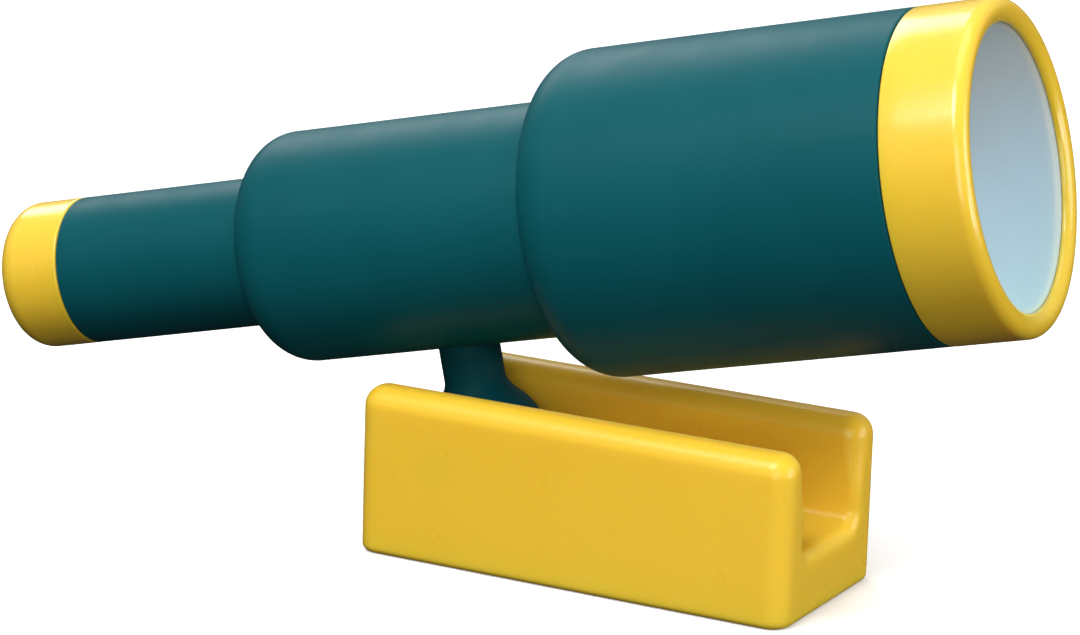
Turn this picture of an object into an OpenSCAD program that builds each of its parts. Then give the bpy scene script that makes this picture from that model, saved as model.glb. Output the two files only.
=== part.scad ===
// Playground telescope on a tilting and swivelling neck, carried by a
// U-shaped rail bracket.  Units are millimetres, +Z is up, +X is the way the
// objective end points, and the origin is the middle of the bracket's
// underside.

/* [Telescope] */
// Outer radius of the objective barrel and its ring
r_obj = 54; // [53:0.1:55]
// Outer radius of the middle barrel
r_mid = 39; // [38.5:0.1:39.5]
// Outer radius of the eyepiece barrel and its ring
r_eye = 25.2; // [25:0.1:25.4]
// Clear radius of the objective opening
r_open = 46; // [45.4:0.1:46.4]
// Clear radius of the eye opening
r_peep = 14.6; // [13:0.1:14.6]
// Height of the barrel axis over the tilt axis
axis_h = 72.4; // [71.9:0.1:73.4]

/* [Stations along the barrel, from the neck axis] */
// Step between the middle and the objective barrel
u_mid = 45.2; // [43:0.1:47]
// Joint between the objective barrel and its ring
u_ring = 173; // [165:0.5:180]
// Length of the objective ring outside the barrel
ring_len = 28.4; // [27:0.1:31]
// Step between the eyepiece and the middle barrel
u_eye = -66; // [-69:0.5:-63]
// Joint between the eyepiece barrel and its ring
u_cap = -138; // [-142:0.1:-136]
// Length of the eyepiece ring outside the barrel
cap_len = 25.3; // [23:0.1:27]

/* [Bracket] */
// Length of the bracket along X
brk_l = 157; // [155:0.5:159]
// Width of the bracket along Y
brk_w = 71; // [71:0.1:72]
// Height of the bracket
brk_h = 57; // [56.5:0.1:57.5]
// Clear width of the channel
chan_w = 40; // [40:0.1:40.4]
// Height of the channel floor
floor_z = 21.5; // [21.2:0.1:22]
// Radius of the soft edges along the tops and outer ends of the walls
soft_r = 7.2; // [6:0.1:7.4]
// Radius of the edges where the channel meets the ends
mouth_r = 3; // [2:0.1:4]
// Radius of the lower edges
foot_r = 2.4; // [1:0.1:2.4]
// Distance of the tilt axis behind the bracket's middle
pivot_back = 49; // [48:0.1:50]
// Height of the tilt axis over the underside
pivot_z = 34; // [33.8:0.1:34.4]
// Spacing of the two mounting holes
mount_pitch = 64; // [62:1:66]

/* [Stored pose] */
// Elevation of the telescope, objective end up
tilt_deg = 12.8; // [0:0.1:20]
// Swivel of the telescope about the neck
swivel_deg = 4.6; // [-10:0.1:10]

/* [Hidden] */
$fn = 96;

wall = 2.8;                       // barrel wall
skin = 3;                         // bracket skin
ball_r = 21.1;                    // ball end of the neck
post_r = 10.3;                    // round post of the neck
fillet_r = 3.5;                   // blend between post and ball
flat_y = 18.6;                    // half width across the ball's side flats
half_w = brk_w / 2;
half_c = chan_w / 2;
half_l = brk_l / 2;
u_front = u_ring + ring_len;      // front plane of the objective ring
u_back = u_cap - cap_len;         // rear plane of the eyepiece ring
lip = 3.4;                        // depth of the window behind the ring's front
rim_out = 4;                      // outer rounding of the objective ring's rim
rim_in = 5;                       // inner rounding of the same rim
cap_r = 8.5;                      // rounding of the eyepiece ring's end
sh1 = r_obj - r_mid;              // shoulder radius, middle to objective
sh2 = r_mid - r_eye;              // shoulder radius, eyepiece to middle
bolt_seat = 26;                   // depth of the bolt head's seat in Y
mount_x = 20;                     // middle of the two mounting holes
room_r = 21.9;                    // room for the ball end in the channel floor

// ---------------------------------------------------------------- placing
module at_pivot() translate([-pivot_back, 0, pivot_z]) children();
module at_neck() at_pivot() rotate([0, -tilt_deg, 0]) children();
module at_scope() at_neck() rotate([0, 0, swivel_deg]) children();
// profiles drawn as (radius, station) turn about the barrel axis
module on_axis() translate([0, 0, axis_h]) rotate([0, 90, 0]) children();
module along_y() rotate([-90, 0, 0]) children();

// ---------------------------------------------------------------- profiles
module band(r0, r1, u0, u1) translate([r0, u0]) square([r1 - r0, u1 - u0]);
module disc(r, u, rad) translate([r, u]) circle(rad);
module turn() rotate_extrude($fn = 144) children();

// rectangle from (x0,y0) to (x1,y1) with a radius at the low and high y ends
module soft_rect(x0, x1, y0, y1, rlo, rhi) {
    translate([x0 + rlo, y0]) square([x1 - x0 - 2 * rlo, y1 - y0 - rhi]);
    translate([x0 + rhi, y0 + rlo]) square([x1 - x0 - 2 * rhi, y1 - y0 - rlo]);
    translate([x0, y0 + rlo]) square([x1 - x0, y1 - y0 - rlo - rhi]);
    for (x = [x0 + rhi, x1 - rhi]) translate([x, y1 - rhi]) circle(rhi, $fn = 64);
    for (x = [x0 + rlo, x1 - rlo]) translate([x, y0 + rlo]) circle(rlo, $fn = 64);
}

// bar with soft tops and ends: three crossed extrusions.  rin rounds the
// upright edges on the low y side, rend those on the high y side
module soft_bar(x0, x1, y0, y1, z0, z1, rlo, rhi, rin, rend) {
    intersection() {
        translate([x0 - 1, 0, 0]) rotate([90, 0, 90])
            linear_extrude(x1 - x0 + 2) soft_rect(y0, y1, z0, z1, rlo, rhi);
        translate([0, y1 + 1, 0]) rotate([90, 0, 0])
            linear_extrude(y1 - y0 + 2) soft_rect(x0, x1, z0, z1, rlo, rhi);
        translate([0, 0, z0 - 1])
            linear_extrude(z1 - z0 + 2) soft_rect(x0, x1, y0, y1, rin, rend);
    }
}

// ---------------------------------------------------------------- bracket
screw_x = [-66, 8, 68];
mount_at = [mount_x - mount_pitch / 2, mount_x + mount_pitch / 2];

module bracket() color("gold") difference() {
    union() {
        difference() {
            union() {
                for (s = [-1, 1]) mirror([0, s < 0 ? 1 : 0, 0])
                    soft_bar(-half_l, half_l, half_c, half_w, 0, brk_h, foot_r, soft_r, mouth_r, soft_r);
                soft_bar(-half_l, half_l, -half_w, half_w, 0, floor_z, foot_r, 5, soft_r, soft_r);
            }
            // hollows of the two walls and of the floor, open underneath
            for (s = [-1, 1]) mirror([0, s < 0 ? 1 : 0, 0])
                soft_bar(-half_l + skin, half_l - skin, half_c + skin, half_w - skin, -6, brk_h - skin, 1, 4.4, 2, 4.4);
            difference() {
                soft_bar(-half_l + skin, half_l - skin, -half_c, half_c, -6, floor_z - skin, 1, 2, 4, 4);
                at_pivot() along_y() cylinder(r = room_r + 3.2, h = chan_w + 2, center = true);
            }
            // recess for the base plate
            translate([0, 0, -1]) linear_extrude(4.4)
                soft_rect(-half_l + skin, half_l - skin, -half_w + skin, half_w - skin, 4.6, 4.6);
        }
        // boss behind the nut, and boss round the bolt head
        at_pivot() along_y() {
            translate([0, 0, -half_w + 1]) cylinder(r = 11, h = 14);
            translate([0, 0, half_c + 0.5]) cylinder(r = 13, h = 14.4);
        }
        // pillars for the base screws and for the mounting sleeves
        for (x = screw_x, s = [-1, 1])
            translate([x, s * (half_c + half_w) / 2, 3.4]) cylinder(r = 5.4, h = 14);
        for (x = mount_at) translate([x, 0, 3.4]) cylinder(r = 11, h = floor_z - skin - 2.4);
    }
    at_pivot() along_y() {
        // room for the ball end
        cylinder(r = room_r, h = chan_w, center = true);
        // bolt hole, nut pocket and seat for the bolt head
        translate([0, 0, -31.5]) cylinder(r = 4.25, h = 63, $fn = 48);
        translate([0, 0, -26.9]) cylinder(r = 7.55, h = 10, $fn = 6);
        translate([0, 0, bolt_seat]) cylinder(r = 9.9, h = 20);
    }
    for (x = screw_x, s = [-1, 1])
        translate([x, s * (half_c + half_w) / 2, -1]) cylinder(r = 1.6, h = 15, $fn = 32);
    for (x = mount_at) {
        translate([x, 0, -1]) cylinder(r = 6.05, h = 40, $fn = 64);
        translate([x, 0, floor_z - 1.6]) cylinder(r = 9.2, h = 10, $fn = 64);
    }
}

module base_plate() color("goldenrod") difference() {
    linear_extrude(3.3)
        soft_rect(-half_l + skin + 0.2, half_l - skin - 0.2, -half_w + skin + 0.2, half_w - skin - 0.2, 4.4, 4.4);
    for (x = screw_x, s = [-1, 1]) translate([x, s * (half_c + half_w) / 2, 0]) {
        translate([0, 0, -1]) cylinder(r = 2.1, h = 6, $fn = 32);
        translate([0, 0, -0.01]) cylinder(r1 = 4.1, r2 = 2.1, h = 2, $fn = 32);
    }
    for (x = mount_at) translate([x, 0, -1]) cylinder(r = 6.15, h = 6, $fn = 64);
}

module base_screw() difference() {
    union() {
        translate([0, 0, 0.15]) cylinder(r1 = 3.9, r2 = 1.6, h = 2.3, $fn = 32);
        translate([0, 0, 2.4]) cylinder(r = 1.6, h = 10.6, $fn = 32);
    }
    for (a = [0, 90]) rotate(a) translate([-1.9, -0.4, -0.5]) cube([3.8, 0.8, 1.7]);
}
module base_screws() color("silver")
    for (x = screw_x, s = [-1, 1]) translate([x, s * (half_c + half_w) / 2, 0]) base_screw();

module mounting_sleeves() color("lightgrey")
    for (x = mount_at) translate([x, 0, 0]) difference() {
        union() {
            cylinder(r = 6, h = floor_z, $fn = 64);
            translate([0, 0, floor_z - 1.5]) cylinder(r = 9, h = 1.5, $fn = 64);
        }
        translate([0, 0, -1]) cylinder(r = 4.25, h = 40, $fn = 64);
    }

// ---------------------------------------------------------------- tilt pivot
module tilt_bolt() color("silver") at_pivot() along_y() {
    translate([0, 0, -30.5]) cylinder(r = 4, h = 60.5, $fn = 64);
    difference() {
        translate([0, 0, bolt_seat + 3.2]) cylinder(r = 7.4, h = 3.8, $fn = 6);
        translate([0, 0, bolt_seat + 6.2]) cylinder(r = 4.2, h = 2, $fn = 32);
    }
}
module tilt_washer() color("gainsboro") at_pivot() along_y() difference() {
    translate([0, 0, bolt_seat]) cylinder(r = 9.2, h = 1.6);
    translate([0, 0, bolt_seat - 1]) cylinder(r = 4.2, h = 5, $fn = 64);
}
module tilt_spring_washer() color("grey") at_pivot() along_y() difference() {
    translate([0, 0, bolt_seat + 1.6]) cylinder(r = 7.2, h = 1.6);
    translate([0, 0, bolt_seat]) cylinder(r = 4.2, h = 5, $fn = 64);
    // split of the spring washer
    translate([4.6, 0, bolt_seat + 2.4]) rotate([35, 0, 0]) cube([9, 0.9, 6], center = true);
}
module tilt_nut() color("silver") at_pivot() along_y() difference() {
    translate([0, 0, -26.8]) cylinder(r = 7.5, h = 6.6, $fn = 6);
    translate([0, 0, -30]) cylinder(r = 4, h = 14, $fn = 64);
}
module bolt_cap() color("gold") at_pivot() along_y() {
    difference() {
        translate([0, 0, half_w - 4.6]) cylinder(r = 9.85, h = 4.4);
        translate([0, 0, half_w - 5]) cylinder(r = 8.1, h = 2.8);
    }
}
module friction_washers() color("dimgrey") at_pivot() along_y()
    for (s = [-1, 1]) difference() {
        translate([0, 0, s * 19.3 - 0.6]) cylinder(r = 10.5, h = 1.2);
        translate([0, 0, s * 19.3 - 2]) cylinder(r = 4.15, h = 4, $fn = 64);
    }

// ---------------------------------------------------------------- neck
post_top = 39;                    // shoulder that carries the telescope
journal_top = 56.6;
blend_z = sqrt(pow(ball_r + fillet_r, 2) - pow(post_r + fillet_r, 2));
tan_r = (post_r + fillet_r) * ball_r / (ball_r + fillet_r);
tan_z = blend_z * ball_r / (ball_r + fillet_r);

module neck_profile() {
    intersection() { circle(ball_r, $fn = 144); band(0, 60, -60, 60); }
    difference() {
        polygon([[0, 0], [tan_r, tan_z], [post_r + fillet_r, blend_z], [post_r, blend_z], [0, blend_z]]);
        disc(post_r + fillet_r, blend_z, fillet_r);
    }
    band(0, post_r, 0, post_top);
    band(0, 7, 0, journal_top);
}
module neck() color("darkslategray") at_neck() difference() {
    rotate_extrude($fn = 144) neck_profile();
    for (s = [-1, 1]) translate([0, s * (flat_y + 10), 0]) cube([60, 20, 60], center = true);
    along_y() cylinder(r = 6.05, h = 60, center = true, $fn = 64);
    // hollow up the inside of the ball, and the pilot for the swivel screw
    translate([0, 0, -30]) cylinder(r = 6.5, h = 18, $fn = 48);
    translate([0, 0, 34]) cylinder(r = 3, h = 30, $fn = 48);
}
module knuckle_sleeve() color("silver") at_neck() along_y() difference() {
    cylinder(r = 6, h = 2 * flat_y, center = true, $fn = 64);
    cylinder(r = 4.05, h = 60, center = true, $fn = 64);
}
module swivel_screw() color("silver") at_neck() difference() {
    union() {
        translate([0, 0, 36]) cylinder(r = 3, h = journal_top + 2 - 36, $fn = 48);
        translate([0, 0, journal_top + 2]) cylinder(r = 5.8, h = 3.4, $fn = 48);
    }
    for (a = [0, 90]) rotate(a) translate([-3, -0.6, journal_top + 3.2]) cube([6, 1.2, 4]);
}
module swivel_washer() color("gainsboro") at_neck() difference() {
    translate([0, 0, journal_top]) cylinder(r = 13, h = 2);
    translate([0, 0, 50]) cylinder(r = 3.1, h = 20, $fn = 48);
}
module swivel_wave_washer() color("grey") at_neck() difference() {
    translate([0, 0, 55.1]) cylinder(r = 12.4, h = 1.45);
    translate([0, 0, 50]) cylinder(r = 8.4, h = 20, $fn = 64);
}

// ---------------------------------------------------------------- swivel seat
module swivel_bush() color("ivory") at_scope() difference() {
    union() {
        translate([0, 0, post_top + 0.1]) cylinder(r = 10.4, h = 1.4);
        translate([0, 0, post_top + 0.1]) cylinder(r = 9, h = 15.9);
    }
    translate([0, 0, 30]) cylinder(r = 7.06, h = 40, $fn = 96);
}
module swivel_socket() color("darkcyan") at_scope() difference() {
    union() {
        intersection() {
            on_axis() cylinder(r = r_mid - 2.75, h = 60, center = true, $fn = 144);
            translate([-22, -19, 30]) cube([44, 38, 15]);
        }
        translate([0, 0, 39.5]) cylinder(r = 14, h = 15.5);
        // four gussets
        for (a = [0, 90]) rotate(a) translate([-18, -1.5, 42]) cube([36, 3, 7]);
    }
    translate([0, 0, 20]) cylinder(r = 10.7, h = 20.5, $fn = 96);
    translate([0, 0, 20]) cylinder(r = 9.02, h = 60, $fn = 96);
}

// ---------------------------------------------------------------- barrels
module middle_barrel() color("teal") at_scope() difference() {
    on_axis() turn() difference() {
        union() {
            band(0, r_eye, u_eye, u_eye + sh2);
            intersection() { disc(r_eye, u_eye + sh2, sh2); band(0, 90, u_eye, u_eye + sh2 + 1); }
            band(0, r_mid, u_eye + sh2, u_mid);
            band(0, r_eye - 2.6, u_eye - 16, u_eye + 1);
        }
        band(-1, r_mid - 2.6, u_eye + sh2, u_mid + 1);
        intersection() { disc(r_eye, u_eye + sh2, sh2 - 2.6); band(-1, 90, -200, u_eye + sh2 + 1); }
        band(-1, r_eye, u_eye + 2.6, u_eye + sh2 + 1);
        band(-1, r_eye - 5, u_eye - 20, u_eye + 4);
    }
    translate([0, 0, 20]) cylinder(r = 10.7, h = 25, $fn = 96);
}
module objective_barrel() color("teal") at_scope() on_axis() turn() difference() {
    union() {
        band(0, r_mid, u_mid, u_mid + sh1);
        intersection() { disc(r_mid, u_mid + sh1, sh1); band(0, 90, u_mid, u_mid + sh1 + 1); }
        band(0, r_obj, u_mid + sh1, u_ring);
        band(0, r_mid - 2.7, u_mid - 9, u_mid + 1);
    }
    band(-1, r_obj - wall, u_mid + sh1, u_ring + 1);
    intersection() { disc(r_mid, u_mid + sh1, sh1 - wall); band(-1, 90, -200, u_mid + sh1 + 1); }
    band(-1, r_mid, u_mid + wall, u_mid + sh1 + 1);
    band(-1, r_mid - 5.2, u_mid - 20, u_mid + 4);
}
module eyepiece_barrel() color("teal") at_scope() on_axis() turn()
    band(r_eye - 2.5, r_eye, u_cap, u_eye);

// ---------------------------------------------------------------- objective end
seat_r = 48.2;
module objective_ring() color("gold") at_scope() on_axis() turn() difference() {
    union() {
        band(0, r_obj - rim_out, u_ring, u_front);
        band(0, r_obj, u_ring, u_front - rim_out);
        disc(r_obj - rim_out, u_front - rim_out, rim_out);
        band(0, r_obj - wall - 0.1, u_ring - 8, u_ring + 1);
    }
    // mouth with a rounded inner rim
    band(-1, r_open, u_front - lip - 1, u_front + 1);
    difference() {
        band(r_open - 0.5, r_obj - rim_out, u_front - rim_in, u_front + 1);
        disc(r_obj - rim_out, u_front - rim_in, rim_in);
    }
    band(-1, seat_r, u_ring - 20, u_front - lip);
}
win_sag = 1.2;
win_rad = (48 * 48 + win_sag * win_sag) / (2 * win_sag);
module objective_window() color([0.72, 0.82, 0.88, 0.8]) at_scope() on_axis() turn() {
    band(0, 48.1, u_front - lip - 3.1, u_front - lip - 0.1);
    intersection() {
        translate([0, u_front - lip + win_sag - 0.1 - win_rad]) circle(win_rad, $fn = 720);
        band(0, r_open - 0.2, u_front - lip - 1, u_front);
    }
}
module objective_gasket() color("black") at_scope() on_axis() turn()
    band(44, 48.1, u_front - lip - 4.4, u_front - lip - 3.1);
module objective_retainer() color("gold") at_scope() on_axis() turn()
    band(43.4, 48.1, u_front - lip - 7.4, u_front - lip - 4.4);

// ---------------------------------------------------------------- eye end
cap_seat = 19.6;
module eyepiece_ring() color("gold") at_scope() on_axis() turn() difference() {
    union() {
        band(0, r_eye - cap_r, u_back, u_cap);
        band(0, r_eye, u_back + cap_r, u_cap);
        disc(r_eye - cap_r, u_back + cap_r, cap_r);
        band(0, r_eye - 2.6, u_cap - 1, u_cap + 8);
    }
    band(-1, r_peep, u_back - 1, u_back + 6);
    difference() {
        band(r_peep - 1, r_peep + 2, u_back - 1, u_back + 2);
        disc(r_peep + 2, u_back + 2, 2);
    }
    band(-1, cap_seat, u_back + 4.5, u_cap + 20);
}
module eyepiece_window() color([0.72, 0.82, 0.88, 0.8]) at_scope() on_axis() turn()
    band(0, 19.5, u_back + 4.6, u_back + 6.6);
module eyepiece_gasket() color("black") at_scope() on_axis() turn()
    band(16.4, 19.5, u_back + 6.6, u_back + 7.8);
module eyepiece_retainer() color("gold") at_scope() on_axis() turn()
    band(15.8, 19.5, u_back + 7.8, u_back + 10.3);

bracket();
base_plate();
base_screws();
mounting_sleeves();
tilt_bolt();
tilt_washer();
tilt_spring_washer();
tilt_nut();
bolt_cap();
friction_washers();
neck();
knuckle_sleeve();
swivel_screw();
swivel_washer();
swivel_wave_washer();
swivel_bush();
swivel_socket();
middle_barrel();
objective_barrel();
eyepiece_barrel();
objective_ring();
objective_window();
objective_gasket();
objective_retainer();
eyepiece_ring();
eyepiece_window();
eyepiece_gasket();
eyepiece_retainer();
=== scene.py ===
import math
import bpy
import bmesh
import numpy as np
from mathutils import Matrix, Vector, noise


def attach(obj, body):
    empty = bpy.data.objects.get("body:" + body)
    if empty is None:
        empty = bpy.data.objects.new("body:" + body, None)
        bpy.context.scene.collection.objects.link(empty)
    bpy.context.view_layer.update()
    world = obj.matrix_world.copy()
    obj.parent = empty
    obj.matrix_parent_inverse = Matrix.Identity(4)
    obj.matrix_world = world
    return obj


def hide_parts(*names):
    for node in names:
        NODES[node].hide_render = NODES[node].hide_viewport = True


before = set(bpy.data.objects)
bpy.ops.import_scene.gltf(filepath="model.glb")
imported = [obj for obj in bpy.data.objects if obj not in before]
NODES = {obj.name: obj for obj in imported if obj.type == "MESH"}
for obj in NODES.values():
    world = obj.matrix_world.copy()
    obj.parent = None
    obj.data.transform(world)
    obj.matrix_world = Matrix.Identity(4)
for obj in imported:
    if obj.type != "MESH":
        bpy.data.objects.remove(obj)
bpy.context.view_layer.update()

mm = 0.001

# ------------------------------------------------------------------ frame
# The same dimensions as the CAD, in metres.
PIVOT = Vector((-0.049, 0.0, 0.034))
TILT, SWIVEL = math.radians(12.8), math.radians(4.6)
M_NECK = Matrix.Translation(PIVOT) @ Matrix.Rotation(-TILT, 4, "Y")
M_SCOPE = M_NECK @ Matrix.Rotation(SWIVEL, 4, "Z")
M_AXIS = M_SCOPE @ Matrix.Translation((0, 0, 0.0724))      # x runs along the barrel
M_PINY = Matrix.Translation(PIVOT) @ Matrix.Rotation(math.radians(-90), 4, "X")

R_OBJ, R_MID, R_EYE = 54.0, 39.0, 25.2
R_OPEN, R_PEEP = 46.0, 14.6
U_MID, U_RING, U_FRONT = 45.2, 173.0, 201.4
U_EYE, U_CAP, U_BACK = -66.0, -138.0, -163.3
SH1, SH2 = R_OBJ - R_MID, R_MID - R_EYE


# ------------------------------------------------------------------ mesh code
def new_object(name, verts, faces, mat, smooth=True):
    me = bpy.data.meshes.new(name)
    me.from_pydata(verts, [], faces)
    me.update()
    me.validate()
    if smooth:
        me.polygons.foreach_set("use_smooth", [True] * len(me.polygons))
    ob = bpy.data.objects.new(name, me)
    bpy.context.scene.collection.objects.link(ob)
    me.materials.append(mat)
    return ob


def arc(cx, cy, r, a0, a1, n=10):
    """points of an arc in (radius, station), angles in degrees from +radius towards +station"""
    return [(cx + r * math.cos(math.radians(a0 + (a1 - a0) * i / n)),
             cy + r * math.sin(math.radians(a0 + (a1 - a0) * i / n))) for i in range(n + 1)]


def densify(pts, step):
    out = []
    for a, b in zip(pts, pts[1:]):
        d = math.hypot(b[0] - a[0], b[1] - a[1])
        n = max(1, int(math.ceil(d / step)))
        out += [(a[0] + (b[0] - a[0]) * i / n, a[1] + (b[1] - a[1]) * i / n) for i in range(n)]
    out.append(pts[-1])
    return out


def lathe(name, profile, matrix, mat, seg=192, step=7.0, wobble=None):
    """Closed solid of revolution about local X. profile is a closed loop of (radius, station) in mm."""
    pts = profile[:]
    if math.hypot(pts[0][0] - pts[-1][0], pts[0][1] - pts[-1][1]) > 1e-6:
        pts.append(pts[0])
    pts = densify(pts, step)[:-1]
    verts, faces, rings = [], [], []
    for r, u in pts:
        if r < 1e-6:
            rings.append([len(verts)])
            verts.append(matrix @ Vector((u * mm, 0, 0)))
            continue
        ring = []
        for k in range(seg):
            a = 2 * math.pi * k / seg
            rr = r + (wobble(r, u, a) if wobble else 0.0)
            ring.append(len(verts))
            verts.append(matrix @ Vector((u * mm, rr * mm * math.cos(a), rr * mm * math.sin(a))))
        rings.append(ring)
    n = len(rings)
    for i in range(n):
        A, B = rings[i], rings[(i + 1) % n]
        if len(A) == 1 and len(B) == 1:
            continue
        for k in range(seg):
            k2 = (k + 1) % seg
            if len(A) == 1:
                faces.append((A[0], B[k2], B[k]))
            elif len(B) == 1:
                faces.append((A[k], A[k2], B[0]))
            else:
                faces.append((A[k], A[k2], B[k2], B[k]))
    ob = new_object(name, verts, faces, mat)
    bm = bmesh.new()
    bm.from_mesh(ob.data)
    bmesh.ops.recalc_face_normals(bm, faces=bm.faces)
    bm.to_mesh(ob.data)
    bm.free()
    return ob


def sharpen(ob, angle=40):
    """shade smooth, with the crisp edges kept crisp"""
    me = ob.data
    me.polygons.foreach_set("use_smooth", [True] * len(me.polygons))
    bm = bmesh.new()
    bm.from_mesh(me)
    lim = math.radians(angle)
    for e in bm.edges:
        e.smooth = not (len(e.link_faces) == 2 and e.calc_face_angle(0) > lim)
    bm.to_mesh(me)
    bm.free()


def surface_nets(sdf, lo, hi, h):
    """Quad mesh of sdf == 0 on a grid (mm), its vertices pulled onto the surface."""
    n = [int(math.ceil((hi[i] - lo[i]) / h)) + 1 for i in range(3)]
    ax = [lo[i] + h * np.arange(n[i]) for i in range(3)]
    X, Y, Z = np.meshgrid(*ax, indexing="ij")
    V = sdf(X, Y, Z)
    inside = V < 0
    cell = np.zeros([k - 1 for k in n], bool)
    cnt = np.zeros(cell.shape, int)
    for dx in (0, 1):
        for dy in (0, 1):
            for dz in (0, 1):
                cnt += inside[dx:n[0] - 1 + dx, dy:n[1] - 1 + dy, dz:n[2] - 1 + dz]
    cell = (cnt > 0) & (cnt < 8)
    idx = -np.ones(cell.shape, int)
    ci = np.argwhere(cell)
    idx[cell] = np.arange(len(ci))
    P = np.zeros((len(ci), 3))
    W = np.zeros(len(ci))
    corners = [(dx, dy, dz) for dx in (0, 1) for dy in (0, 1) for dz in (0, 1)]
    for a in corners:
        for k in range(3):
            if a[k]:
                continue
            b = list(a)
            b[k] = 1
            va = V[ci[:, 0] + a[0], ci[:, 1] + a[1], ci[:, 2] + a[2]]
            vb = V[ci[:, 0] + b[0], ci[:, 1] + b[1], ci[:, 2] + b[2]]
            m = (va < 0) != (vb < 0)
            t = np.where(m, va / np.where(m, va - vb, 1), 0)
            p = np.array(a, float)[None] + t[:, None] * (np.array(b) - np.array(a))[None]
            P[m] += p[m]
            W[m] += 1
    P = (P / W[:, None] + ci) * h + np.array(lo)
    for _ in range(6):
        e = 0.05
        f = sdf(P[:, 0], P[:, 1], P[:, 2])
        g = np.stack([sdf(P[:, 0] + e * (k == 0), P[:, 1] + e * (k == 1), P[:, 2] + e * (k == 2)) - f
                      for k in range(3)], 1) / e
        gg = np.maximum((g * g).sum(1), 1e-6)
        stepv = np.clip(f / gg, -0.6 * h, 0.6 * h)
        P -= stepv[:, None] * g * 0.9
    faces = []
    for k in range(3):
        sl_a = [slice(None)] * 3
        sl_b = [slice(None)] * 3
        sl_a[k] = slice(0, n[k] - 1)
        sl_b[k] = slice(1, n[k])
        A, B = inside[tuple(sl_a)], inside[tuple(sl_b)]
        cross = np.argwhere(A != B)
        i1, i2 = [(1, 2), (2, 0), (0, 1)][k]
        ok = (cross[:, i1] > 0) & (cross[:, i2] > 0) & (cross[:, i1] < n[i1] - 1) & (cross[:, i2] < n[i2] - 1)
        cross = cross[ok]
        q = []
        for d1, d2 in ((-1, -1), (0, -1), (0, 0), (-1, 0)):
            c = cross.copy()
            c[:, i1] += d1
            c[:, i2] += d2
            q.append(idx[c[:, 0], c[:, 1], c[:, 2]])
        q = np.stack(q, 1)
        flip = ~A[cross[:, 0], cross[:, 1], cross[:, 2]]
        q[flip] = q[flip][:, ::-1]
        faces.append(q)
    faces = np.concatenate(faces)
    faces = faces[(faces >= 0).all(1)]
    return P * mm, faces


# ------------------------------------------------------------------ materials
def node_material(name):
    m = bpy.data.materials.new(name)
    m.use_nodes = True
    nt = m.node_tree
    nt.nodes.clear()
    out = nt.nodes.new("ShaderNodeOutputMaterial")
    bsdf = nt.nodes.new("ShaderNodeBsdfPrincipled")
    nt.links.new(bsdf.outputs[0], out.inputs[0])
    return m, nt, bsdf


def coords(nt, scale=(1, 1, 1), matrix=None):
    """object coordinates (the row frame, metres), turned into a body's own axes where asked"""
    tc = nt.nodes.new("ShaderNodeTexCoord")
    mp = nt.nodes.new("ShaderNodeMapping")
    mp.vector_type = "TEXTURE" if matrix is not None else "POINT"
    if matrix is not None:
        loc, rot, _ = matrix.decompose()
        mp.inputs["Location"].default_value = loc
        mp.inputs["Rotation"].default_value = rot.to_euler()
    nt.links.new(tc.outputs["Object"], mp.inputs[0])
    if scale == (1, 1, 1):
        return mp.outputs[0]
    m2 = nt.nodes.new("ShaderNodeMapping")
    m2.inputs["Scale"].default_value = scale
    nt.links.new(mp.outputs[0], m2.inputs[0])
    return m2.outputs[0]


def noise_tex(nt, vec, scale, detail=3, rough=0.5, dist=0.0):
    n = nt.nodes.new("ShaderNodeTexNoise")
    n.inputs["Scale"].default_value = scale
    n.inputs["Detail"].default_value = detail
    n.inputs["Roughness"].default_value = rough
    n.inputs["Distortion"].default_value = dist
    nt.links.new(vec, n.inputs["Vector"])
    return n.outputs["Fac"]


def ramp(nt, fac, stops):
    r = nt.nodes.new("ShaderNodeValToRGB")
    el = r.color_ramp.elements
    while len(el) < len(stops):
        el.new(0.5)
    for e, (p, c) in zip(el, stops):
        e.position = p
        e.color = c if len(c) == 4 else (*c, 1)
    nt.links.new(fac, r.inputs[0])
    return r.outputs[0]


def maprange(nt, val, a, b, c, d):
    m = nt.nodes.new("ShaderNodeMapRange")
    for i, v in zip((1, 2, 3, 4), (a, b, c, d)):
        m.inputs[i].default_value = v
    nt.links.new(val, m.inputs[0])
    return m.outputs[0]


def math_node(nt, op, a, b):
    m = nt.nodes.new("ShaderNodeMath")
    m.operation = op
    for i, v in enumerate((a, b)):
        if isinstance(v, (int, float)):
            m.inputs[i].default_value = v
        else:
            nt.links.new(v, m.inputs[i])
    return m.outputs[0]


def bump(nt, bsdf, height, strength, dist, prev=None):
    b = nt.nodes.new("ShaderNodeBump")
    b.inputs["Strength"].default_value = strength
    b.inputs["Distance"].default_value = dist
    nt.links.new(height, b.inputs["Height"])
    if prev is not None:
        nt.links.new(prev, b.inputs["Normal"])
    nt.links.new(b.outputs[0], bsdf.inputs["Normal"])
    return b.outputs[0]


def scratch_tex(nt, vec, scale, stretch):
    """long thin handling marks: stretched noise, only its peaks"""
    m = nt.nodes.new("ShaderNodeMapping")
    m.inputs["Scale"].default_value = stretch
    nt.links.new(vec, m.inputs[0])
    f = noise_tex(nt, m.outputs[0], scale, 4, 0.6, 0.4)
    return maprange(nt, f, 0.66, 0.74, 0.0, 1.0)


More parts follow.
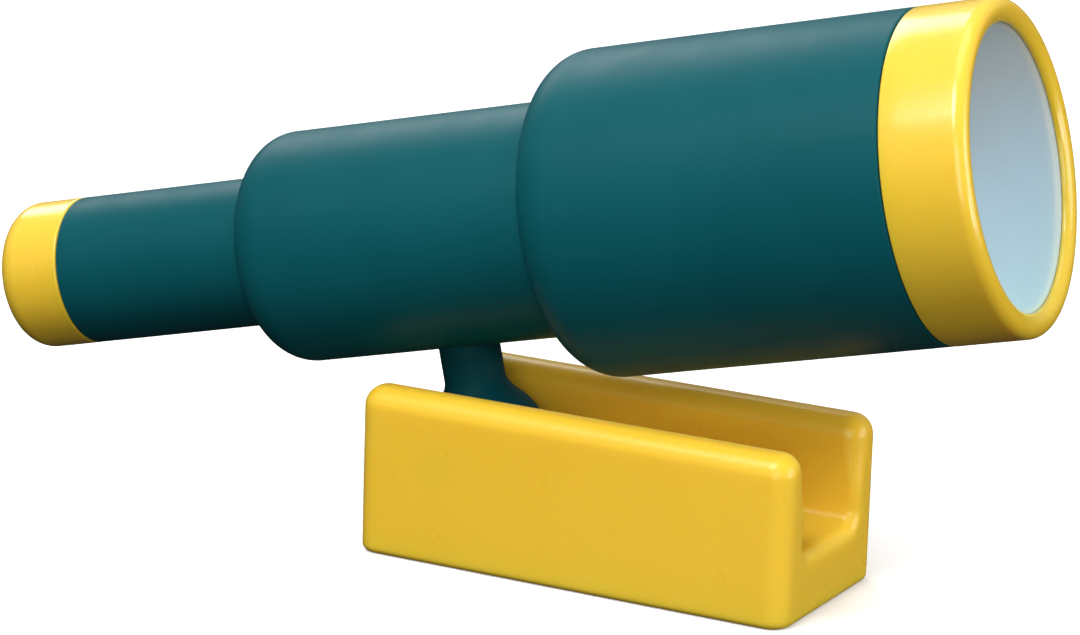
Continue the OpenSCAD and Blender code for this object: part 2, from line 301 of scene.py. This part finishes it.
def moulded_plastic(name, base, light, dark, rough, sss, sss_radius, grain=0.00003,
                    matrix=None, stretch=(1, 9, 9), spec=0.5, wave=0.0002, coat=0.0, scuff=0.12, depth=0.004):
    """blow-moulded polyethylene: slow colour drift, fine orange-peel grain, faint waves and scuffs"""
    m, nt, b = node_material(name)
    v = coords(nt, matrix=matrix)
    big = noise_tex(nt, v, 14, 3, 0.55)
    colr = ramp(nt, big, [(0.30, dark), (0.52, base), (0.78, light)])
    speck = noise_tex(nt, v, 2600, 2, 0.6)
    mix = nt.nodes.new("ShaderNodeMix")
    mix.data_type = "RGBA"
    mix.blend_type = "MULTIPLY"
    mix.inputs[0].default_value = 0.10
    nt.links.new(colr, mix.inputs[6])
    nt.links.new(ramp(nt, speck, [(0.3, (0.75, 0.75, 0.75)), (0.6, (1, 1, 1))]), mix.inputs[7])
    scr = scratch_tex(nt, v, 38, stretch)
    mix2 = nt.nodes.new("ShaderNodeMix")
    mix2.data_type = "RGBA"
    nt.links.new(math_node(nt, "MULTIPLY", scr, scuff), mix2.inputs[0])
    nt.links.new(mix.outputs[2], mix2.inputs[6])
    mix2.inputs[7].default_value = (*[min(1, c * 1.3 + 0.02) for c in light], 1)
    nt.links.new(mix2.outputs[2], b.inputs["Base Color"])
    rn = noise_tex(nt, v, 60, 4, 0.6)
    r1 = maprange(nt, rn, 0.3, 0.7, rough - 0.035, rough + 0.045)
    r2 = math_node(nt, "ADD", r1, math_node(nt, "MULTIPLY", scr, 0.6 * scuff))
    nt.links.new(r2, b.inputs["Roughness"])
    b.inputs["Specular IOR Level"].default_value = spec
    b.inputs["IOR"].default_value = 1.5
    b.inputs["Subsurface Weight"].default_value = sss
    b.inputs["Subsurface Radius"].default_value = sss_radius
    b.inputs["Subsurface Scale"].default_value = depth
    b.inputs["Coat Weight"].default_value = coat
    b.inputs["Coat Roughness"].default_value = 0.12
    n1 = bump(nt, b, noise_tex(nt, v, 22, 2, 0.5), 0.35, wave)
    n2 = bump(nt, b, noise_tex(nt, v, 1100, 3, 0.55), 0.30, grain, n1)
    if scuff > 0:
        bump(nt, b, scr, 2.0 * scuff, 0.00002, n2)
    return m


def metal(name, base=(0.62, 0.62, 0.60), rough=0.32, scale=900):
    m, nt, b = node_material(name)
    v = coords(nt)
    f = noise_tex(nt, v, scale, 4, 0.6)
    nt.links.new(ramp(nt, f, [(0.3, [c * 0.82 for c in base]), (0.7, base)]), b.inputs["Base Color"])
    b.inputs["Metallic"].default_value = 1.0
    nt.links.new(maprange(nt, f, 0.3, 0.7, rough - 0.06, rough + 0.1), b.inputs["Roughness"])
    bump(nt, b, f, 0.2, 0.00002)
    return m


def rubber(name):
    m, nt, b = node_material(name)
    v = coords(nt)
    f = noise_tex(nt, v, 1500, 3, 0.6)
    nt.links.new(ramp(nt, f, [(0.3, (0.012, 0.012, 0.012)), (0.7, (0.035, 0.034, 0.033))]), b.inputs["Base Color"])
    nt.links.new(maprange(nt, f, 0.3, 0.7, 0.55, 0.75), b.inputs["Roughness"])
    bump(nt, b, f, 0.3, 0.00003)
    return m


TEAL = moulded_plastic("barrel_plastic", (0.0028, 0.081, 0.097), (0.0034, 0.089, 0.106), (0.0024, 0.074, 0.089),
                       0.42, 0.0, (0.1, 0.6, 0.6), matrix=M_AXIS, stretch=(1.2, 10, 10), spec=0.07, scuff=0.02)
# painted shade: the neck is the barrels' plastic, its colour darkened to stand for the barrel's shadow falling on it
NECK_PAINTED_SHADE = moulded_plastic("neck_plastic_painted_shade", (0.0018, 0.046, 0.057), (0.0022, 0.052, 0.063), (0.0015, 0.041, 0.051),
                       0.50, 0.0, (0.1, 0.6, 0.6), matrix=M_NECK, stretch=(8, 8, 1.5), spec=0.04, scuff=0.02)
YELLOW = moulded_plastic("bracket_plastic", (0.95, 0.600, 0.045), (0.96, 0.620, 0.052), (0.93, 0.580, 0.040),
                         0.30, 0.40, (1.0, 0.50, 0.08), stretch=(1.2, 9, 9), spec=0.4, scuff=0.0, depth=0.010)
RING = moulded_plastic("ring_plastic", (0.88, 0.560, 0.038), (0.89, 0.580, 0.046), (0.86, 0.540, 0.032),
                       0.24, 0.40, (1.0, 0.50, 0.08), matrix=M_AXIS, stretch=(9, 2, 2), coat=0.3, scuff=0.0, depth=0.010)
STEEL = metal("zinc_steel")
DARKSTEEL = metal("spring_steel", (0.30, 0.30, 0.31), 0.38)
RUBBER = rubber("gasket_rubber")
ACETAL = moulded_plastic("acetal", (0.72, 0.70, 0.62), (0.78, 0.76, 0.68), (0.66, 0.64, 0.56), 0.42, 0.05, (1, 1, 0.9))


def window_material(name):
    """pale translucent plastic pane with a painted reflection across it: pale blue low down to dark grey at the top"""
    m, nt, b = node_material(name)
    v = coords(nt, matrix=M_AXIS)
    sep = nt.nodes.new("ShaderNodeSeparateXYZ")
    nt.links.new(v, sep.inputs[0])
    # painted reflection: the base colour is graded by height across the pane, with a little noise in the grading
    t = maprange(nt, sep.outputs[2], -0.046, 0.046, 0.0, 1.0)
    reflection_wobble = maprange(nt, noise_tex(nt, v, 18, 2, 0.5), 0.3, 0.7, -0.03, 0.03)
    t = math_node(nt, "ADD", t, reflection_wobble)
    nt.links.new(ramp(nt, t, [(0.0, (0.58, 0.88, 1.00)), (0.45, (0.49, 0.68, 0.80)), (0.85, (0.37, 0.44, 0.47)),
                              (1.0, (0.31, 0.37, 0.39))]), b.inputs["Base Color"])
    nt.links.new(maprange(nt, noise_tex(nt, v, 300, 3, 0.6), 0.3, 0.7, 0.16, 0.26), b.inputs["Roughness"])
    b.inputs["Specular IOR Level"].default_value = 0.5
    b.inputs["Subsurface Weight"].default_value = 0.1
    b.inputs["Subsurface Radius"].default_value = (0.6, 0.9, 1.0)
    b.inputs["Subsurface Scale"].default_value = 0.004
    bump(nt, b, noise_tex(nt, v, 30, 2, 0.5), 0.15, 0.0002)
    return m


WINDOW = window_material("window_plastic")

CAD_MATS = {
    "bracket": YELLOW, "base_plate": YELLOW, "bolt_cap": YELLOW,
    "base_screws": STEEL, "mounting_sleeves": STEEL, "tilt_bolt": STEEL, "tilt_washer": STEEL,
    "tilt_spring_washer": DARKSTEEL, "tilt_nut": STEEL, "friction_washers": RUBBER,
    "neck": NECK_PAINTED_SHADE, "knuckle_sleeve": STEEL, "swivel_screw": STEEL, "swivel_washer": STEEL,
    "swivel_wave_washer": DARKSTEEL, "swivel_bush": ACETAL, "swivel_socket": TEAL,
    "middle_barrel": TEAL, "objective_barrel": TEAL, "eyepiece_barrel": TEAL,
    "objective_ring": RING, "objective_window": WINDOW, "objective_gasket": RUBBER,
    "objective_retainer": RING, "eyepiece_ring": RING, "eyepiece_window": WINDOW,
    "eyepiece_gasket": RUBBER, "eyepiece_retainer": RING,
}
for n, o in NODES.items():
    o.data.materials.clear()
    o.data.materials.append(CAD_MATS[n])


def wear(name, ob, node, body):
    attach(ob, body)
    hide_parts(node)
    return ob


# ------------------------------------------------------------------ barrels
def barrel_wave(r, u, a):
    """the faint unevenness of a blown wall: inwards only, a few hundredths of a millimetre"""
    w = 0.5 + 0.5 * math.sin(u * 0.055 + 1.3 * math.sin(2 * a + 0.4)) * math.cos(3 * a + u * 0.02)
    return -0.06 * w


# small gap: every section ends in a fine moulded edge, so the joints show as creases
e = 0.7
obj_profile = (
    [(R_MID - 5.2, U_MID - 9), (R_MID - 2.7, U_MID - 9), (R_MID - 2.7, U_MID + 0.2), (R_MID - 0.25, U_MID + 0.2)]
    + arc(R_MID - 0.25, U_MID + SH1, SH1 + 0.25 - 0.2, -90, -88, 1)
    + arc(R_MID, U_MID + SH1, SH1, -84, 0, 26)
    + [(R_OBJ, U_RING - e)] + arc(R_OBJ - e, U_RING - e, e, 0, 90, 5)
    + [(R_OBJ - 2.8, U_RING), (R_OBJ - 2.8, U_MID + SH1)]
    + arc(R_MID, U_MID + SH1, SH1 - 2.8, 0, -90, 16)
    + [(R_MID - 5.2, U_MID + 2.8)]
)
obj = lathe("objective_barrel_shell", obj_profile, M_AXIS, TEAL, seg=256, step=8, wobble=barrel_wave)
sharpen(obj, 50)
wear("objective_barrel_shell", obj, "objective_barrel", "telescope")

mid_profile = (
    [(R_EYE - 5, U_EYE - 16), (R_EYE - 2.6, U_EYE - 16), (R_EYE - 2.6, U_EYE + 0.2), (R_EYE - 0.25, U_EYE + 0.2)]
    + arc(R_EYE, U_EYE + SH2, SH2, -84, 0, 26)
    + [(R_MID, U_MID - e)] + arc(R_MID - e, U_MID - e, e, 0, 90, 5)
    + [(R_MID - 2.6, U_MID), (R_MID - 2.6, U_EYE + SH2)]
    + arc(R_EYE, U_EYE + SH2, SH2 - 2.6, 0, -90, 16)
    + [(R_EYE - 5, U_EYE + 2.6)]
)
mid = lathe("middle_barrel_shell", mid_profile, M_AXIS, TEAL, seg=256, step=6, wobble=barrel_wave)

eye_profile = ([(R_EYE - 2.5, U_CAP), (R_EYE - 0.6, U_CAP)] + arc(R_EYE - 0.6, U_CAP + 0.6, 0.6, -90, 0, 4)
               + [(R_EYE, U_EYE - 0.5)] + arc(R_EYE - 0.5, U_EYE - 0.5, 0.5, 0, 90, 4) + [(R_EYE - 2.5, U_EYE)])
eye = lathe("eyepiece_barrel_shell", eye_profile, M_AXIS, TEAL, seg=192, step=6, wobble=barrel_wave)
sharpen(eye, 50)
wear("eyepiece_barrel_shell", eye, "eyepiece_barrel", "telescope")


def cutter(name, r, z0, z1, matrix, seg=128):
    verts, faces = [], []
    for z in (z0, z1):
        for k in range(seg):
            a = 2 * math.pi * k / seg
            verts.append(matrix @ Vector((r * mm * math.cos(a), r * mm * math.sin(a), z * mm)))
    for k in range(seg):
        k2 = (k + 1) % seg
        faces.append((k, k2, seg + k2, seg + k))
    faces.append(tuple(range(seg))[::-1])
    faces.append(tuple(range(seg, 2 * seg)))
    return new_object(name, verts, faces, TEAL, smooth=False)


def cut(ob, tools):
    """exact boolean differences, applied, and the tools removed"""
    for t in tools:
        md = ob.modifiers.new("cut", "BOOLEAN")
        md.operation = "DIFFERENCE"
        md.solver = "EXACT"
        md.object = t
    bpy.context.view_layer.update()
    dg = bpy.context.evaluated_depsgraph_get()
    me = bpy.data.meshes.new_from_object(ob.evaluated_get(dg))
    ob.modifiers.clear()
    old = ob.data
    ob.data = me
    bpy.data.meshes.remove(old)
    for t in tools:
        m = t.data
        bpy.data.objects.remove(t)
        bpy.data.meshes.remove(m)
    return ob


cut(mid, [cutter("neck_hole", 10.7, 20, 50, M_SCOPE)])
sharpen(mid, 50)
wear("middle_barrel_shell", mid, "middle_barrel", "telescope")

# ------------------------------------------------------------------ rings
ring_profile = (
    [(48.2, U_RING - 8), (50.4, U_RING - 8), (51.1, U_RING - 7.2), (51.1, U_RING + 0.25), (R_OBJ - 0.8, U_RING + 0.25)]
    + arc(R_OBJ - 0.8, U_RING + 1.05, 0.8, -90, 0, 5)
    + [(R_OBJ, U_FRONT - 4.0)] + arc(R_OBJ - 4.0, U_FRONT - 4.0, 4.0, 0, 90, 16)
    + arc(R_OBJ - 4.0, U_FRONT - 5.0, 5.0, 94, 143.13, 12)
    + [(R_OPEN, U_FRONT - 3.4), (48.2, U_FRONT - 3.4)]
)
ring = lathe("objective_ring_shell", ring_profile, M_AXIS, RING, seg=256, step=6)
sharpen(ring, 50)
wear("objective_ring_shell", ring, "objective_ring", "telescope")

cap_profile = (
    [(R_PEEP, U_BACK + 4.5), (R_PEEP, U_BACK + 2.0)] + arc(R_PEEP + 2, U_BACK + 2, 2, 180, 270, 10)
    + arc(R_EYE - 8.5, U_BACK + 8.5, 8.5, -90, 0, 24)
    + [(R_EYE, U_CAP - 0.9)] + arc(R_EYE - 0.7, U_CAP - 0.9, 0.7, 0, 90, 5)
    + [(R_EYE - 2.6, U_CAP - 0.2), (R_EYE - 2.6, U_CAP + 7.4), (R_EYE - 3.2, U_CAP + 8), (19.6, U_CAP + 8), (19.6, U_BACK + 4.5)]
)
cap = lathe("eyepiece_ring_shell", cap_profile, M_AXIS, RING, seg=192, step=5)
sharpen(cap, 50)
wear("eyepiece_ring_shell", cap, "eyepiece_ring", "telescope")

# panes: crowned disc in front, flat one at the eye
rad = (48 * 48 + 1.2 * 1.2) / 2.4
crown = [(0.0, U_FRONT - 2.3)] + [(r, U_FRONT - 2.3 - (rad - math.sqrt(rad * rad - r * r))) for r in range(4, 45, 4)]
win_profile = crown + [(45.7, U_FRONT - 3.40), (45.8, U_FRONT - 3.5), (47.7, U_FRONT - 3.5), (48.1, U_FRONT - 3.9), (48.1, U_FRONT - 6.5), (0.0, U_FRONT - 6.5)]
win = lathe("objective_window_pane", win_profile, M_AXIS, WINDOW, seg=192, step=6)
sharpen(win, 50)
wear("objective_window_pane", win, "objective_window", "telescope")
ew_profile = [(0.0, U_BACK + 4.6), (19.1, U_BACK + 4.6), (19.5, U_BACK + 5.0), (19.5, U_BACK + 6.6), (0.0, U_BACK + 6.6)]
ew = lathe("eyepiece_window_pane", ew_profile, M_AXIS, WINDOW, seg=128, step=5)
sharpen(ew, 50)
wear("eyepiece_window_pane", ew, "eyepiece_window", "telescope")


# ------------------------------------------------------------------ neck
def neck_sdf(x, y, z):
    """ball, round post and journal, with a soft blend between ball and post (mm, neck frame)"""
    rho = np.sqrt(x * x + y * y)
    ball = np.sqrt(rho * rho + z * z) - 21.1
    # flats with a small soft edge
    def cap_y(d, k):
        q = np.abs(y) - 18.6
        a, b = d + k, q + k
        return np.minimum(np.maximum(a, b), 0) + np.sqrt(np.maximum(a, 0) ** 2 + np.maximum(b, 0) ** 2) - k
    ball = cap_y(ball, 0.9)
    post = np.maximum(rho - 10.3, np.maximum(-z, z - 39.0))
    # circular fillet, radius 3.5, between post and ball
    k = 3.5
    a, b = k - ball, k - post
    uni = np.maximum(np.minimum(ball, post), k) - np.sqrt(np.maximum(a, 0) ** 2 + np.maximum(b, 0) ** 2)
    blend = np.where((z > 4) & (z < 34), uni, np.minimum(ball, post))
    jour = np.maximum(rho - 7.0, np.maximum(-z, z - 56.6))
    d = np.minimum(blend, jour)
    d = np.maximum(d, z - 56.6)
    return d


P, F = surface_nets(neck_sdf, (-23.2, -20.1, -23.1), (23.2, 20.1, 58.3), 0.8)
neck = new_object("neck_body", [M_NECK @ Vector(p) for p in P], [tuple(int(i) for i in f) for f in F], NECK_PAINTED_SHADE)
cut(neck, [cutter("n1", 6.05, -40, 40, M_NECK @ Matrix.Rotation(math.radians(-90), 4, "X")),
           cutter("n2", 6.5, -30, -12, M_NECK), cutter("n3", 3.0, 34, 64, M_NECK)])
sharpen(neck, 45)
wear("neck_body", neck, "neck", "neck")


# ------------------------------------------------------------------ bracket
L, W, H = 78.5, 35.5, 57.0
C, FL = 20.0, 21.5


def rbox(x, y, z, c, h, r):
    q = [np.abs(v - cc) - (hh - r) for v, cc, hh in zip((x, y, z), c, h)]
    out = np.sqrt(sum(np.maximum(v, 0) ** 2 for v in q))
    return out + np.minimum(np.maximum(q[0], np.maximum(q[1], q[2])), 0) - r


def smin(a, b, k):
    return np.maximum(np.minimum(a, b), k) - np.sqrt(np.maximum(k - a, 0) ** 2 + np.maximum(k - b, 0) ** 2)


def smax(a, b, k):
    return -smin(-a, -b, k)


def sstep(v, a, b):
    t = np.clip((v - a) / (b - a), 0, 1)
    return t * t * (3 - 2 * t)


def bracket_sdf(x, y, z):
    """soft-edged block with a round-bottomed channel through it, one moulded body"""
    outer = rbox(x, y, z, (0, 0, 8.0), (L, W, H - 8.0), 7.2)
    channel = smax(np.abs(y) - C, FL - z, 5.5)
    # the channel's rim is tight at the ends and as soft as the outside along the top
    k = 3.2 + 4.0 * sstep(z, FL + 8.0, H - 6.0) + 1.8 * (1 - sstep(z, FL - 2.0, FL + 12.0))
    d = smax(outer, -channel, k)
    return smax(d, -z, 2.4)


P, F = surface_nets(bracket_sdf, (-80.6, -37.6, -2.1), (80.6, 37.6, 59.1), 1.15)
brk = new_object("bracket_body", [Vector(p) for p in P], [tuple(int(i) for i in f) for f in F], YELLOW)


def box_tool(name, lo, hi, r=0.0, seg=8):
    """upright box with round corners in plan, in mm"""
    verts, faces = [], []
    pts = []
    for cx, cy, a0 in ((hi[0] - r, hi[1] - r, 0), (lo[0] + r, hi[1] - r, 90), (lo[0] + r, lo[1] + r, 180), (hi[0] - r, lo[1] + r, 270)):
        for i in range(seg + 1):
            a = math.radians(a0 + 90 * i / seg)
            pts.append((cx + r * math.cos(a), cy + r * math.sin(a)))
    n = len(pts)
    for z in (lo[2], hi[2]):
        verts += [Vector((px, py, z)) * mm for px, py in pts]
    for k in range(n):
        k2 = (k + 1) % n
        faces.append((k, k2, n + k2, n + k))
    faces.append(tuple(range(n))[::-1])
    faces.append(tuple(range(n, 2 * n)))
    return new_object(name, verts, faces, YELLOW, smooth=False)


tools = [
    box_tool("t_plate", (-75.5, -32.5, -5), (75.5, 32.5, 3.4), 4.6),
    cutter("t_ball", 21.9, -20.02, 20.02, M_PINY, 160),
    cutter("t_hole", 4.25, -31.5, 31.5, M_PINY, 48),
    cutter("t_seat", 9.9, 26, 46, M_PINY, 96),
]
nut_tool = cutter("t_nut", 7.55, -26.9, -16, M_PINY, 6)
tools.append(nut_tool)
for x in (20 - 32, 20 + 32):
    mt = Matrix.Translation((x * mm, 0, 0))
    tools.append(cutter("t_slv", 6.05, -5, 40, mt, 64))
    tools.append(cutter("t_flg", 9.2, 19.9, 40, mt, 64))
for x in (-66, 8, 68):
    for s in (-1, 1):
        tools.append(cutter("t_scr", 1.6, -5, 14, Matrix.Translation((x * mm, s * 27.75 * mm, 0)), 24))
cut(brk, tools)
sharpen(brk, 40)
wear("bracket_body", brk, "bracket", "base")

# plug over the bolt head: a slightly crowned cap with a soft rim and a skirt
cap_pts = ([(8.1, 30.9), (9.85, 30.9), (9.85, 34.5)] + arc(9.05, 34.5, 0.8, 0, 90, 6)
           + [(7.0, 35.36), (4.5, 35.42), (2.0, 35.44), (0.0, 35.44), (0.0, 33.3), (8.1, 33.3)])
M_CAP = Matrix.Translation(PIVOT) @ Matrix.Rotation(math.radians(90), 4, "Z")
bc = lathe("bolt_cap_plug", cap_pts, M_CAP, YELLOW, seg=96, step=3)
sharpen(bc, 40)
wear("bolt_cap_plug", bc, "bolt_cap", "base")

# soft broken edges on the parts that keep their CAD shape
for n in ("base_plate", "mounting_sleeves", "base_screws", "friction_washers", "tilt_bolt", "tilt_washer", "tilt_nut"):
    md = NODES[n].modifiers.new("edge", "BEVEL")
    md.width = 0.00018
    md.segments = 2
    md.limit_method = "ANGLE"
    md.angle_limit = math.radians(40)
    md.harden_normals = False

# ------------------------------------------------------------------ stage
def plain_floor(name):
    m, nt, b = node_material(name)
    v = coords(nt)
    f = noise_tex(nt, v, 6, 3, 0.5)
    nt.links.new(ramp(nt, f, [(0.3, (0.88, 0.88, 0.88)), (0.7, (0.90, 0.90, 0.90))]), b.inputs["Base Color"])
    b.inputs["Emission Color"].default_value = (1, 1, 1, 1)
    b.inputs["Emission Strength"].default_value = 0.22
    b.inputs["Roughness"].default_value = 0.9
    b.inputs["Specular IOR Level"].default_value = 0.1
    return m


FLOOR = plain_floor("stage_floor")
verts = []
faces = []
# floor that sweeps up into a backdrop, turned to the camera
bpts = [(-3.0, 0.0), (2.0, 0.0)] + [(2.0 + 1.5 * math.sin(math.radians(a)), 1.5 - 1.5 * math.cos(math.radians(a))) for a in range(10, 91, 10)] + [(3.5, 5.0)]
fwd = Vector((-0.451, 0.857, 0)).normalized()
side = Vector((fwd.y, -fwd.x, 0))
for w in (-6.0, 6.0):
    for d, z in bpts:
        p = fwd * d + side * w
        verts.append(Vector((p.x, p.y, z)))
nb = len(bpts)
for i in range(nb - 1):
    faces.append((i, i + 1, nb + i + 1, nb + i))
floor = new_object("stage_sweep", verts, faces, FLOOR)
# a pale floor to stand on, without its bounce filling in the undersides
floor.visible_diffuse = False
floor.visible_glossy = False

# ------------------------------------------------------------------ camera
F_PX = 4300.0
UNIT = 54.0 * mm
centre = Vector((0, 0, 0.0285))
right = Vector((0.881, 0.472, 0.030)).normalized()
fw = Vector((-0.451, 0.857, -0.252)).normalized()
up = right.cross(fw).normalized()
right = fw.cross(up).normalized()
Zb = 0.960 * 25.146 * 1.0888 * UNIT
cam_pos = centre - right * ((615.6 - 540) / F_PX * Zb) + up * ((481.2 - 317.5) / F_PX * Zb) - fw * Zb
cam = bpy.data.cameras.new("camera")
cam.lens = 36.0 * F_PX / 1080.0
cam.sensor_width = 36.0
cam.clip_start = 0.05
cam.clip_end = 50
camo = bpy.data.objects.new("camera", cam)
bpy.context.scene.collection.objects.link(camo)
camo.matrix_world = Matrix((
    (right.x, up.x, -fw.x, cam_pos.x),
    (right.y, up.y, -fw.y, cam_pos.y),
    (right.z, up.z, -fw.z, cam_pos.z),
    (0, 0, 0, 1)))
bpy.context.scene.camera = camo


# ------------------------------------------------------------------ lights
def area(name, pos, target, size, energy, color=(1, 1, 1), size_y=None):
    l = bpy.data.lights.new(name, "AREA")
    l.energy = energy
    l.color = color
    l.size = size
    if size_y:
        l.shape = "RECTANGLE"
        l.size_y = size_y
    o = bpy.data.objects.new(name, l)
    bpy.context.scene.collection.objects.link(o)
    o.location = pos
    d = (Vector(target) - Vector(pos)).normalized()
    o.rotation_euler = d.to_track_quat("-Z", "Y").to_euler()
    return o


def rel(r, u, f):
    """a point given in the camera's right, up and forward directions from the object's middle"""
    return Vector((0.02, 0.0, 0.09)) + right * r + Vector((0, 0, 1)) * u + fwd * f


T = (0.0, 0.0, 0.08)
area("key", rel(-0.65, 1.35, -0.75), T, 0.7, 20)
area("side", rel(1.45, 0.30, -0.45), T, 0.9, 10)
area("low", rel(1.15, -0.03, -0.80), T, 0.30, 2.5)
area("front", rel(-0.2, 0.40, -1.5), T, 1.0, 8.5)
area("top", rel(0.1, 1.6, 0.2), T, 1.2, 8)
area("rim", rel(-0.5, 0.9, 1.2), T, 0.8, 8)

# soft studio surround: pale above, dim below the horizon
world = bpy.data.worlds.new("world")
bpy.context.scene.world = world
world.use_nodes = True
wn = world.node_tree
wtc = wn.nodes.new("ShaderNodeTexCoord")
wsep = wn.nodes.new("ShaderNodeSeparateXYZ")
wn.links.new(wtc.outputs["Generated"], wsep.inputs[0])
wramp = ramp(wn, maprange(wn, wsep.outputs[2], -0.6, 0.8, 0.0, 1.0),
             [(0.0, (0.04, 0.04, 0.04)), (0.40, (0.08, 0.08, 0.08)), (0.62, (0.60, 0.60, 0.60)), (1.0, (1, 1, 1))])
wn.links.new(wramp, wn.nodes["Background"].inputs[0])
wn.nodes["Background"].inputs[1].default_value = 0.55
bpy.context.scene.view_settings.view_transform = "Standard"
